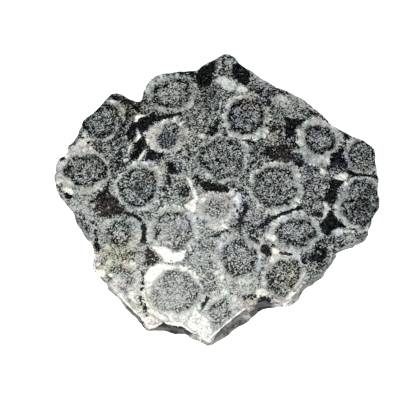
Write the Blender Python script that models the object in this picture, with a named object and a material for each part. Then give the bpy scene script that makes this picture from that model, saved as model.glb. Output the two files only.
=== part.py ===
"""A slice of orbicular diorite: two sawn faces, the upper one polished, and a broken rim.

The stone is one natural piece, so it is one closed solid. It lies flat on its lower sawn face.
The origin is at the middle of the slice, in the plane of the lower face. +X runs along the
longest extent, +Y across it, and +Z through the thickness, towards the polished face.
"""

import bpy
import bmesh
from math import ceil
from mathutils import Matrix, Vector, noise

MM = 0.001

LENGTH = 139.5
WIDTH = 130.6
THICKNESS = 10.0

# The walk round the polished face, clockwise as seen from above, starting in the west.
# Each point is x, y and how far the lower edge stands out past the upper one there, all in mm.
RIM_STRETCHES = {
    "west nose": [
        (-66.4, -0.5, 0.0), (-68.2, 4.5, 0.2), (-68.9, 9.5, 0.0), (-67.7, 14.0, -0.6), (-65.0, 16.6, -1.0),
    ],
    "north-west steps": [
        (-63.8, 20.5, -1.0), (-60.3, 25.0, -0.4), (-58.8, 29.5, 0.3), (-58.1, 32.3, 0.6),
        (-55.0, 34.8, 0.6), (-53.8, 36.6, 0.2), (-50.2, 40.5, -0.4), (-47.1, 43.7, -0.8), (-46.2, 45.4, -0.8),
    ],
    "north bay": [
        (-42.2, 45.7, -0.4), (-38.0, 43.2, 0.4), (-33.7, 42.5, 0.8), (-31.4, 47.3, 0.9),
        (-29.5, 51.6, 0.4), (-28.0, 53.7, -0.4), (-24.9, 55.5, -1.0),
    ],
    "north brow": [(-19.0, 56.2, -1.2), (-13.4, 56.8, -0.6), (-8.2, 57.0, 0.4)],
    "north point": [
        (-6.6, 58.7, 0.6), (-1.6, 62.0, 0.2), (2.3, 64.6, -0.4), (4.6, 65.2, -0.7), (7.5, 64.0, -0.4),
    ],
    "north-east edge": [
        (11.8, 59.6, 0.6), (17.3, 55.5, 1.0), (25.1, 49.9, 0.6), (34.4, 45.0, -0.4), (40.3, 41.1, -1.0),
        (46.9, 35.0, -0.6), (49.8, 31.9, 0.0), (50.7, 30.4, 0.6), (57.6, 25.7, 0.8), (65.1, 22.0, 0.0),
        (68.3, 18.8, -0.6),
    ],
    "east edge": [
        (68.7, 15.4, -0.6), (68.2, 12.1, 0.0), (69.0, 5.5, 0.0), (68.5, 0.5, -0.8), (68.6, -6.0, -1.2),
        (66.2, -11.2, -0.4), (63.6, -16.0, 0.0), (62.6, -20.0, -0.4), (60.9, -21.8, -0.6),
    ],
    "south-east shoulder": [
        (57.0, -22.9, -0.6), (52.8, -24.7, -0.6), (49.4, -27.8, 0.0), (45.4, -33.4, 0.2), (41.0, -37.3, 0.4),
    ],
    "south-east edge": [(37.0, -39.6, 0.8), (33.0, -44.1, 1.2), (28.6, -48.2, 0.5), (24.5, -49.0, -0.8)],
    "south bay": [(19.5, -48.4, 0.4), (15.2, -49.5, 2.0), (10.5, -51.9, 3.6)],
    "south tip": [
        (7.0, -54.9, 2.7), (1.5, -59.7, 1.9), (-0.6, -61.8, 1.5), (-2.2, -64.6, 0.3), (-4.0, -65.2, 0.0),
        (-7.2, -62.2, 0.0),
    ],
    "south ledge": [
        (-10.2, -61.5, -0.4), (-13.6, -59.4, 0.4), (-18.0, -58.5, 0.8), (-21.8, -57.7, 1.0), (-25.5, -58.9, -0.2),
        (-28.2, -59.1, -0.6),
    ],
    "south-west edge": [(-31.0, -56.0, -0.2), (-36.6, -49.6, 0.0), (-42.4, -43.2, 0.0), (-48.2, -36.4, 0.1)],
    "west notch": [(-50.2, -34.0, 0.2), (-51.2, -31.2, 0.4), (-50.3, -27.4, 1.6)],
    "west edge": [(-53.2, -21.4, 0.0), (-58.2, -12.9, 0.3), (-62.0, -5.9, 0.0)],
}

# Nicks in the rim of the polished face: x and y of the middle, reach along the rim, bite inwards.
NICKS = [
    (-50.6, -30.7, 3.3, 3.6),
    (-21.6, -57.6, 1.8, 1.0),
    (-33.0, 42.6, 2.6, 0.9),
    (61.5, -21.6, 3.0, 1.2),
    (50.2, 31.2, 2.2, 0.4),
    (-65.0, 17.5, 2.4, 0.8),
    (13.0, -50.6, 3.0, 1.0),
]

COLUMN_SPACING = 1.6
# A stretch may be this share of a spacing too long before it gets one more column.
SPACING_SLACK = 0.3

# Height of each ring as a share of the thickness, from the lower face to the polished one.
RING_HEIGHTS = [0.0, 0.06, 0.2, 0.38, 0.57, 0.76, 0.92, 1.0]
NICK_SHARES = [0.0, 0.0, 0.0, 0.0, 0.12, 0.5, 0.85, 1.0]

LOWER_EDGE_WEAR = 0.35
UPPER_EDGE_WEAR = 0.06

# The share of the break's relief at the two edges, and how soon it is whole between them.
LOWER_EDGE_RELIEF = 0.4
UPPER_EDGE_RELIEF = 0.35
RELIEF_STEEPNESS = 6.0

FACET_SIZE = 8.0
FACET_TILT = 0.3
FACET_LIMIT = 0.8
FACET_SHUFFLE = 7.3
GRAIN_SIZE = 2.6
GRAIN_DEPTH = 0.2
NOISE_ORIGIN = Vector((31.7, 12.3, 5.9))

STONE_COLOUR = (0.33, 0.36, 0.34, 1.0)
STONE_ROUGHNESS = 0.35


def clear_scene():
    for item in list(bpy.data.objects):
        bpy.data.objects.remove(item, do_unlink=True)


def curve_point(before, start, end, after, share):
    """A point between start and end on a smooth curve through all four, each (x, y, lean)."""
    return 0.5 * (
        2.0 * start
        + (end - before) * share
        + (2.0 * before - 5.0 * start + 4.0 * end - after) * share ** 2
        + (3.0 * start - before - 3.0 * end + after) * share ** 3
    )


def rim_columns():
    """The closed rim as evenly spaced (x, y, lean) points, clockwise from above."""
    corners = [Vector(point) for stretch in RIM_STRETCHES.values() for point in stretch]
    count = len(corners)
    columns = []
    for index in range(count):
        before, start = corners[index - 1], corners[index]
        end, after = corners[(index + 1) % count], corners[(index + 2) % count]
        steps = max(1, ceil((end - start).xy.length / COLUMN_SPACING - SPACING_SLACK))
        for step in range(steps):
            columns.append(curve_point(before, start, end, after, step / steps))
    return columns


def outward_directions(columns):
    """For each column, the level direction that points away from the stone."""
    directions = []
    count = len(columns)
    for index in range(count):
        along = (columns[(index + 2) % count] - columns[index - 2]).xy
        directions.append(Vector((-along.y, along.x, 0.0)).normalized())
    return directions


def fracture(point):
    """How far the broken surface stands out at a point: tilted facets with a fine grain on them."""
    place = point / FACET_SIZE + NOISE_ORIGIN
    nearest = noise.voronoi(place)[1][0]
    tilt = noise.cell_vector(nearest * FACET_SHUFFLE)
    facet = tilt.dot(place - nearest) * FACET_SIZE * FACET_TILT
    facet = max(-FACET_LIMIT, min(FACET_LIMIT, facet))
    grain = noise.noise(point / GRAIN_SIZE + NOISE_ORIGIN) * GRAIN_DEPTH
    return facet + grain


def nick_bite(point):
    """How far the rim of the polished face is bitten back beside a point."""
    bite = 0.0
    for middle_x, middle_y, reach, depth in NICKS:
        distance = (point.xy - Vector((middle_x, middle_y))).length
        if distance < reach:
            bite = max(bite, depth * (1.0 - (distance / reach) ** 2))
    return bite


def ring_offset(column, direction, height, nick_share):
    """Distance outwards from the rim line to the rim surface at one height."""
    base = Vector((column.x, column.y, height * THICKNESS))
    lean = column.z * (1.0 - height)
    share = min(1.0, RELIEF_STEEPNESS * height * (1.0 - height))
    relief = LOWER_EDGE_RELIEF + (1.0 - LOWER_EDGE_RELIEF) * share
    offset = lean + relief * fracture(base + direction * lean)
    if height == 0.0:
        offset -= LOWER_EDGE_WEAR
    if height == 1.0:
        offset = UPPER_EDGE_RELIEF * fracture(base) - UPPER_EDGE_WEAR
    return offset - nick_share * nick_bite(column)


def rim_rings():
    """All rings of points, from the lower face up to the polished one, in millimetres."""
    columns = rim_columns()
    directions = outward_directions(columns)
    rings = []
    for height, nick_share in zip(RING_HEIGHTS, NICK_SHARES):
        ring = []
        for column, direction in zip(columns, directions):
            offset = ring_offset(column, direction, height, nick_share)
            ring.append(Vector((column.x, column.y, height * THICKNESS)) + direction * offset)
        rings.append(ring)
    return rings


def fit_to_size(rings):
    """Stretches the rings slightly and centres them, so that the box has the stated size."""
    points = [point for ring in rings for point in ring]
    low_x, high_x = min(point.x for point in points), max(point.x for point in points)
    low_y, high_y = min(point.y for point in points), max(point.y for point in points)
    for point in points:
        point.x = (point.x - 0.5 * (low_x + high_x)) * LENGTH / (high_x - low_x)
        point.y = (point.y - 0.5 * (low_y + high_y)) * WIDTH / (high_y - low_y)


def stone_material():
    material = bpy.data.materials.new("orbicular diorite")
    material.use_nodes = True
    shader = material.node_tree.nodes["Principled BSDF"]
    shader.inputs["Base Color"].default_value = STONE_COLOUR
    shader.inputs["Roughness"].default_value = STONE_ROUGHNESS
    shader.inputs["Metallic"].default_value = 0.0
    return material


def make_slab():
    """Bridges the rings with quads, closes both sawn faces and splits everything to triangles.

    The shape is made in millimetres and then brought to metres.
    """
    rings = rim_rings()
    fit_to_size(rings)
    shape = bmesh.new()
    loops = [[shape.verts.new(point) for point in ring] for ring in rings]
    for lower, upper in zip(loops, loops[1:]):
        for index in range(len(lower)):
            shape.faces.new((lower[index - 1], upper[index - 1], upper[index], lower[index]))
    shape.faces.new(loops[0])
    shape.faces.new(reversed(loops[-1]))
    shape.normal_update()
    bmesh.ops.triangulate(shape, faces=shape.faces, quad_method="BEAUTY", ngon_method="BEAUTY")
    bmesh.ops.recalc_face_normals(shape, faces=shape.faces)
    shape.transform(Matrix.Scale(MM, 4))
    mesh = bpy.data.meshes.new("slab")
    shape.to_mesh(mesh)
    shape.free()
    slab = bpy.data.objects.new("slab", mesh)
    slab.data.materials.append(stone_material())
    bpy.context.scene.collection.objects.link(slab)
    return slab


clear_scene()
make_slab()
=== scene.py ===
"""Looks of a slice of orbicular diorite: ringed orbs in speckled rock, with one polished face.

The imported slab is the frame. Places and sizes below are in millimetres in the slab's own frame:
the origin in the middle of the lower face, +X along the longest extent, +Z towards the polish.
Tones run from 0, black, to 1, white. The settings and the studio are in metres.
"""

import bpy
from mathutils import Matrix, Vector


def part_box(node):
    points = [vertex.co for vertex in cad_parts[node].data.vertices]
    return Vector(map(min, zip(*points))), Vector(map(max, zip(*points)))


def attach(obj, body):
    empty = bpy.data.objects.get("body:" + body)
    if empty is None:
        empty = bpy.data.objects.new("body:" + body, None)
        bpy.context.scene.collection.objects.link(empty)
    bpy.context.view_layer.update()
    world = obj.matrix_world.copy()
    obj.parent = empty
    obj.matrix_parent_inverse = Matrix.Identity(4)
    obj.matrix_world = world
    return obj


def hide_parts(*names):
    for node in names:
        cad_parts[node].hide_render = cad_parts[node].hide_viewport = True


bl_info = {
    "name": "Orbicular diorite slab",
    "version": (1, 0, 0),
    "blender": (4, 5, 0),
    "location": "3D View > Sidebar > Diorite",
    "description": "Dresses the packed slab as polished orbicular diorite in a plain studio",
    "category": "Object",
}

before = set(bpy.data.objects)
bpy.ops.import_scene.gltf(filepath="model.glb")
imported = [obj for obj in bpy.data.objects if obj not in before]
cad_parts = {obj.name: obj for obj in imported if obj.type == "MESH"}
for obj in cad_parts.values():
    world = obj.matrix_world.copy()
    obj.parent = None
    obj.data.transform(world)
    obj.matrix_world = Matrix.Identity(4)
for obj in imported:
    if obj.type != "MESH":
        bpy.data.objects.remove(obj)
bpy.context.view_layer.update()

from collections import namedtuple
from math import cos, radians, sin

import bmesh
import bpy
import numpy as np
from bpy.props import FloatProperty, FloatVectorProperty, PointerProperty
from mathutils import Matrix, Vector, noise
from mathutils.geometry import delaunay_2d_cdt
from mathutils.kdtree import KDTree

MM = 0.001
NODE = "slab"
LOW, HIGH = (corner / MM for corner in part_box(NODE))
TOP = HIGH.z

# An orb: its middle on the polished face, how far its pale shell and its grey core reach towards
# E, NE, N, NW, W, SW, S and SE, how far below the polish its middle lies, the tones of shell, core
# and heart from 0 to 1, how much darker the ring round the core is, and how creamy the shell is.
Orb = namedtuple("Orb", "x y shell core depth pale grey heart ring cream")
# Orb tones in the south-west half are set paler, partly as painted sheen of a broad soft reflection on the
# polish.
ORBS = {
    "north brow": Orb(
        -19.5, 45.5, (11.3, 11.0, 9.6, 11.5, 11.2, 9.6, 9.0, 9.3),
        (7.8, 8.4, 6.3, 6.3, 8.2, 7.6, 6.0, 6.8), 4.0, 0.62, 0.45, 0.48, 0.19, 0.05,
    ),
    "north-west": Orb(
        -49.0, 33.5, (8.6, 10.2, 8.8, 8.0, 9.0, 9.8, 10.9, 8.8),
        (5.5, 7.0, 6.2, 6.5, 8.3, 8.6, 8.0, 5.4), 1.0, 0.58, 0.36, 0.39, 0.20, 0.00,
    ),
    "west nose": Orb(
        -57.0, 9.5, (11.6, 9.8, 11.5, 11.3, 11.8, 12.0, 11.3, 11.5),
        (9.6, 7.6, 6.0, 6.3, 8.0, 6.4, 7.4, 8.2), 6.0, 0.67, 0.37, 0.38, 0.12, 0.10,
    ),
    "cream": Orb(
        -21.0, 25.0, (8.8, 9.8, 9.2, 8.5, 10.0, 8.8, 8.6, 7.5),
        (3.0, 5.4, 5.6, 2.4, 3.4, 4.2, 5.2, 4.1), -2.0, 0.69, 0.34, 0.12, 0.05, 0.30,
    ),
    "north point": Orb(
        13.5, 34.0, (9.8, 12.0, 11.8, 11.5, 11.0, 11.2, 10.0, 12.0),
        (7.0, 8.7, 8.6, 8.3, 7.6, 7.8, 7.0, 6.2), 5.0, 0.66, 0.42, 0.36, 0.24, 0.05,
    ),
    "north-east": Orb(
        45.2, 24.5, (10.4, 9.2, 9.8, 9.8, 9.8, 11.6, 13.8, 8.0),
        (5.9, 4.9, 4.5, 6.7, 5.8, 6.4, 6.7, 6.2), 2.0, 0.69, 0.38, 0.62, 0.17, 0.10,
    ),
    "east corner": Orb(
        63.5, 16.0, (9.0, 9.0, 9.0, 9.8, 8.3, 8.8, 8.0, 9.0),
        (6.5, 6.5, 6.8, 6.2, 5.8, 5.6, 6.0, 6.5), 3.0, 0.65, 0.45, 0.17, 0.13, 0.00,
    ),
    "east edge": Orb(
        60.5, -6.5, (12.0, 13.5, 13.4, 10.4, 10.8, 11.0, 12.0, 11.0),
        (8.7, 9.5, 10.5, 6.4, 7.1, 8.1, 8.9, 8.2), 5.0, 0.71, 0.33, 0.18, 0.08, 0.00,
    ),
    "middle": Orb(
        2.5, 15.5, (12.0, 12.0, 10.8, 10.4, 12.5, 11.0, 11.9, 11.9),
        (9.0, 8.6, 7.4, 8.2, 9.6, 8.5, 9.0, 9.2), 4.0, 0.62, 0.44, 0.37, 0.14, 0.00,
    ),
    "west": Orb(
        -33.5, 2.0, (11.0, 12.2, 12.0, 9.3, 11.0, 10.2, 11.3, 11.3),
        (7.2, 7.8, 7.8, 7.1, 8.0, 7.6, 9.2, 8.0), 3.0, 0.69, 0.46, 0.18, 0.19, 0.00,
    ),
    "east": Orb(
        25.0, 2.5, (11.4, 12.6, 10.8, 11.0, 11.6, 11.8, 13.0, 12.5),
        (8.4, 8.6, 8.0, 8.5, 9.0, 9.2, 9.8, 9.0), 6.0, 0.69, 0.47, 0.30, 0.16, 0.00,
    ),
    "small heart": Orb(
        -41.0, -18.5, (9.3, 9.8, 7.8, 8.0, 8.0, 8.3, 8.8, 8.8),
        (4.0, 4.8, 4.3, 4.5, 4.4, 4.4, 5.6, 5.4), 1.0, 0.60, 0.45, 0.60, 0.13, 0.00,
    ),
    "south-west": Orb(
        -18.5, -17.0, (11.2, 11.2, 11.4, 10.4, 11.6, 11.7, 12.0, 12.2),
        (7.8, 7.4, 6.8, 7.4, 7.2, 7.8, 8.8, 8.0), 5.0, 0.70, 0.54, 0.52, 0.16, 0.10,
    ),
    "pale middle": Orb(
        0.5, -7.5, (9.0, 11.2, 6.7, 8.9, 9.2, 9.5, 9.7, 9.1),
        (4.0, 4.0, 2.2, 4.0, 4.4, 4.4, 5.0, 4.4), -3.0, 0.75, 0.53, 0.30, 0.00, 0.25,
    ),
    "south-east oval": Orb(
        33.8, -18.5, (10.4, 9.3, 9.8, 9.9, 13.0, 9.8, 9.6, 8.6),
        (7.4, 6.4, 4.9, 6.7, 8.4, 5.8, 6.6, 4.9), 2.0, 0.66, 0.43, 0.56, 0.17, 0.00,
    ),
    "south": Orb(
        9.0, -28.8, (10.8, 8.6, 9.8, 10.6, 10.5, 12.0, 11.5, 11.0),
        (6.8, 5.4, 6.4, 6.4, 6.1, 7.2, 8.0, 7.4), 4.0, 0.66, 0.49, 0.46, 0.16, 0.05,
    ),
    "south-east": Orb(
        28.0, -37.5, (9.3, 10.6, 8.4, 9.6, 10.0, 10.2, 11.5, 9.8),
        (5.2, 7.4, 6.4, 6.0, 6.4, 7.4, 8.2, 4.8), 2.0, 0.67, 0.46, 0.45, 0.12, 0.10,
    ),
    "white": Orb(
        -18.0, -43.5, (12.2, 11.5, 11.5, 12.5, 11.8, 12.0, 11.8, 12.0),
        (10.2, 8.3, 8.5, 7.2, 8.4, 9.3, 8.8, 9.4), 6.0, 0.79, 0.56, 0.59, 0.08, 0.20,
    ),
    "south-west edge": Orb(
        -39.0, -38.0, (7.8, 8.0, 6.8, 8.6, 8.4, 8.0, 8.4, 8.5),
        (4.4, 3.2, 3.6, 5.6, 6.0, 4.2, 5.0, 4.2), 1.0, 0.70, 0.52, 0.59, 0.08, 0.20,
    ),
    "south tip": Orb(
        1.0, -52.0, (8.8, 9.5, 8.2, 8.5, 8.8, 9.5, 9.0, 8.0),
        (3.5, 4.1, 3.7, 3.3, 3.7, 4.9, 4.9, 3.7), 1.0, 0.71, 0.47, 0.64, 0.08, 0.10,
    ),
}

# Tone of the speckled rock between the orbs: x, y, reach and tone of each zone.
# In the south-west half, round (-15, -35), the zone tones are set paler, partly as painted sheen of a broad
# soft reflection.
ROCK_ZONES = {
    "north": (-7, 38, 12, 0.38),
    "north point": (8, 58, 8, 0.45),
    "above orb": (-4, 45, 4, 0.24),
    "north-east edge": (30, 42, 9, 0.46),
    "north-east notch": (26, 30, 6, 0.38),
    "north-east slope": (24, 51, 4, 0.60),
    "north-east slope low": (36, 44, 4, 0.58),
    "north-west": (-40, 30, 9, 0.34),
    "west of middle": (-43, 17, 8, 0.36),
    "cream side": (-10, 22, 7, 0.46),
    "under cream": (-20, 9, 6, 0.52),
    "brown mass": (25, 16, 6, 0.34),
    "east": (41, 2, 9, 0.45),
    "east corner": (55, 14, 6, 0.36),
    "south-east shoulder": (56, -22, 7, 0.44),
    "south-east mottle": (44, -28, 6, 0.42),
    "east of pale": (15, -12, 6, 0.52),
    "above oval": (25, -13, 4, 0.58),
    "centre": (-14, 0, 6, 0.50),
    "west edge": (-56, -10, 7, 0.55),
    "west khaki": (-40, -29, 7, 0.57),
    "notch": (-46, -31, 4, 0.66),
    "south": (-6, -29, 8, 0.57),
    "left of whites": (-27, -24, 4, 0.64),
    "south low": (4, -42, 6, 0.67),
    "south-west": (-30, -52, 8, 0.78),
    "tip": (-10, -58, 8, 0.82),
    "between dots": (23, -28, 5, 0.66),
}

# Tints that spread through the rock: x, y, reach and strength of each patch.
TINTS = {
    "green": [
        (-26, 46, 6, 0.7), (-8, 36, 7, 1.0), (-40, 37, 6, 0.8), (-42, 25, 7, 0.9), (-46, 10, 4, 0.8),
        (-33, 8, 4, 0.8), (-13, 4, 4, 0.6), (-48, -13, 5, 0.8), (-5, -31, 6, 0.7), (3, -40, 6, 0.6),
        (-45, -17, 4, 0.5), (54, -4, 4, 0.6), (48, 4, 3, 0.6), (-10, 18, 6, 0.6), (-3, 8, 4, 0.4),
        (-56, 35, 4, 0.5), (-34, -22, 4, 0.4), (24, 28, 5, 0.4), (-22, -10, 5, 0.3),
    ],
    "cream": [
        (-27.5, 25, 5, 1.0), (-24, 20, 4, 0.8), (-3, -2, 6, 0.7), (7, -3, 5, 0.6), (-11, -6, 4, 0.9),
        (-58, 21, 6, 0.7), (-64, 1, 4, 0.7), (24, -27, 4, 0.6), (13, -50, 4, 1.0), (26, -47, 5, 0.7),
        (-48, -36, 4, 1.0), (22, 24, 3, 0.8), (-55, -0.5, 5, 0.5), (13.5, 40, 5, 0.4), (-25, -57, 6, 0.6),
        (15, 43, 3, 0.7), (45, 32, 4, 0.6), (31, 47, 7, 0.5), (19, -46, 3, 0.8), (-33, -46, 4, 0.5),
    ],
    "olive": [
        (-40, -29, 8, 1.0), (-47, -26, 5, 0.8), (-26, -28, 4, 0.5), (-11, 24, 5, 0.6), (-9, 44, 6, 0.3),
        (30, -39, 5, 0.9), (31, -33, 4, 0.6), (26, 29, 4, 0.6), (-25, 10, 4, 0.5), (30, 22, 4, 0.5),
        (-37, 38, 6, 0.5), (-30, -50, 5, 0.6), (63, 12, 4, 0.4), (6, -40, 6, 0.3), (14, -47, 4, 0.6),
    ],
    "brown": [
        (-46, -7, 5, 0.8), (28, 16, 4, 0.7), (28, -28, 1.6, 0.9), (-28, -29, 4, 0.5), (16, 42, 4, 0.4),
        (-49.5, -31, 2.5, 0.7), (20.5, -26.5, 3, 0.5), (-38, 42, 4, 0.4), (-22, -60, 6, 0.5),
    ],
    "blue": [
        (-20.5, 23, 4, 1.0), (-36.5, 27, 3, 1.0), (21, 45, 4, 0.6), (53.5, 13.5, 4, 1.0),
        (42, -28.5, 3, 1.0), (-27, 15.5, 3, 0.7), (-33, -3, 4, 0.5), (6, -27, 4, 0.4), (34, -30, 3, 0.5),
        (-11, -14, 3, 0.5), (33, 26, 3, 0.9), (36, 14.5, 2.5, 0.9), (39.5, 10, 3, 0.9), (43, 25, 3, 0.8),
        (61, 5.5, 3, 0.7), (51, 1.5, 3, 1.0), (48, -3, 2.5, 0.9), (48, -17, 4, 0.9), (29, -9.5, 3, 0.6),
        (11, -3, 3, 0.8), (10, -13, 3, 0.8), (19, -15.5, 3, 0.8), (-18.5, 10.5, 2.5, 0.9),
        (-1.5, 58, 3, 0.6), (12, 55, 3, 0.6), (11.5, 34.5, 5, 0.6), (62, -10, 4, 0.6), (33, -18.5, 6, 0.4),
        (64, 19, 3, 0.5), (-32, 29.5, 2.5, 0.7), (17, -31, 3, 0.5),
    ],
}

# Corrections to the tone, put where comparisons of the render with the photo differed most: x, y,
# reach and what they add.
SHADES = [
    (-23.4, 50.6, 2, 0.10), (-2.5, 46, 3, -0.12), (-24, 45.6, 2, 0.16), (12, 44, 2.5, 0.14),
    (33, 43.5, 2.5, 0.10), (27, 43, 2.5, 0.14), (-45.5, 43, 3, 0.12), (37.6, 40.4, 3, 0.12),
    (-48.5, 38.6, 2, 0.10), (35.6, 37.8, 2.5, -0.10), (2, 35.5, 3, 0.12), (-36, 34.4, 2.5, -0.12),
    (-19.5, 33.8, 2.5, 0.22), (-31, 33, 2.5, 0.12), (45.6, 33, 2.5, 0.12), (-14.5, 32, 2.5, 0.12),
    (-52.5, 31, 3, -0.12), (49.8, 30.9, 2, -0.10), (21.5, 28, 2, -0.12), (-43, 27.5, 3, -0.14),
    (10.6, 27, 1.6, 0.12), (15.4, 27, 1.6, -0.12), (29, 25.2, 2, -0.12), (38.8, 25, 2, 0.10),
    (22.4, 24.6, 3, 0.14), (-9, 24.5, 3, 0.12), (52, 24, 2, -0.12), (-20.8, 23.4, 2.5, -0.16),
    (13.8, 23.4, 3, 0.20), (-58.2, 22.3, 2.5, -0.12), (-0.7, 22.3, 2.5, -0.10), (-51.8, 18.6, 2.5, -0.20),
    (-58, 18.4, 3, 0.14), (-20, 18, 3, 0.10), (-36.5, 17, 2.5, 0.12), (-30, 16, 3, 0.12),
    (36.5, 14.6, 2.5, -0.18), (-40, 14, 2.5, 0.12), (34, 14, 2, -0.10), (-65, 13, 3, 0.12),
    (11, 12.5, 2.5, 0.12), (65, 12.5, 2.5, 0.10), (39.6, 12.5, 2, -0.12), (59, 10.6, 3, -0.10),
    (-62, 10, 2.5, -0.14), (-22, 9.5, 3, 0.12), (-63.7, 9.3, 2, -0.12), (15, 8.5, 4, 0.14),
    (40.2, 8, 2, -0.12), (53.5, 7.5, 2.5, -0.12), (-5, 6.8, 2.5, 0.12), (-43, 6.4, 2.5, 0.12),
    (18.3, 3.6, 2, -0.10), (56, 3.5, 3, 0.12), (68.1, 2.5, 2, -0.12), (36, 2, 3, -0.12),
    (-59.5, 2, 2, -0.14), (-17.2, 1.5, 2, -0.12), (26, 0.6, 2, 0.12), (-44.6, -0.7, 1.8, -0.12),
    (18, -1, 2.5, 0.12), (53, -2, 2.5, -0.12), (-6.3, -3.9, 2, 0.14), (42.5, -4, 3, -0.12),
    (36.3, -5.7, 2.5, 0.14), (-16.5, -5.7, 2, 0.12), (9, -6, 2.5, 0.12), (-57, -7, 4, 0.10),
    (-26, -7, 3, 0.10), (17, -7, 2.5, 0.16), (48.6, -7, 2, 0.14), (-31.3, -7.9, 1.8, 0.12),
    (65.5, -8, 3, -0.14), (0.4, -8.4, 2, -0.12), (25.2, -9.8, 2, 0.12), (9.6, -10.8, 2, -0.12),
    (-6, -11.8, 2.5, -0.14), (-54, -12, 3, 0.10), (-15, -13, 2.5, 0.10), (12, -13, 2, -0.12),
    (57, -14, 5, 0.10), (28.6, -14.3, 3, 0.28), (40.2, -14.6, 2, 0.10), (-42, -17, 3, 0.10),
    (24, -17, 2, 0.14), (-54, -18, 3, -0.10), (-38.6, -18, 2.5, -0.12), (-28.6, -18.6, 2.5, -0.10),
    (26.6, -18.7, 2, 0.14), (15.8, -19.4, 2, -0.10), (19.6, -20.3, 2, 0.12), (39.6, -20.9, 2, -0.10),
    (-26.3, -21.3, 2, -0.12), (-15.5, -21.7, 2.5, -0.14), (-46.5, -22, 2.5, -0.16), (-36.5, -22.5, 2, 0.14),
    (4, -23.4, 1.8, 0.12), (50.6, -24, 3, -0.10), (-19.6, -24.2, 2, 0.14), (44.8, -24.3, 2, -0.12),
    (2.4, -25.2, 2, 0.12), (46.6, -27, 2.5, 0.14), (-43, -28, 2.5, 0.10), (31, -29, 3, 0.12),
    (24, -30, 3, 0.18), (17.6, -30, 1.8, 0.10), (4.6, -30.2, 2, 0.10), (-27.5, -30.4, 1.8, 0.12),
    (20, -31, 1.8, -0.20), (-49, -32.4, 3, 0.14), (-18.7, -32.6, 1.8, 0.12), (33, -34, 2.5, -0.12),
    (18.4, -34.6, 1.8, -0.18), (43.6, -35, 3, 0.10), (0, -37, 2.6, 0.17), (30.6, -38, 2.5, 0.12),
    (8.4, -38, 3.4, -0.12), (-23.1, -38.9, 2, 0.12), (2, -39.6, 2.4, 0.15), (-42, -40.6, 3, 0.32),
    (-26, -41, 3, 0.10), (-1.2, -41, 2, -0.15), (-31, -42, 2, 0.10), (-23, -43, 3, 0.10),
    (-32.6, -43, 2.5, 0.10), (-2, -43.6, 2.5, -0.20), (25.5, -44, 2.5, -0.10), (8, -47, 4, 0.10),
    (5, -51.2, 2, 0.12), (-17, -52.4, 4, 0.10), (7.5, -54.2, 2, -0.20), (-3, -55, 3, 0.18),
    (-26, -55.4, 3, 0.12), (-16.5, -55.4, 1.6, -0.14), (1.4, -56, 2.5, 0.12),
]

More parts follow.
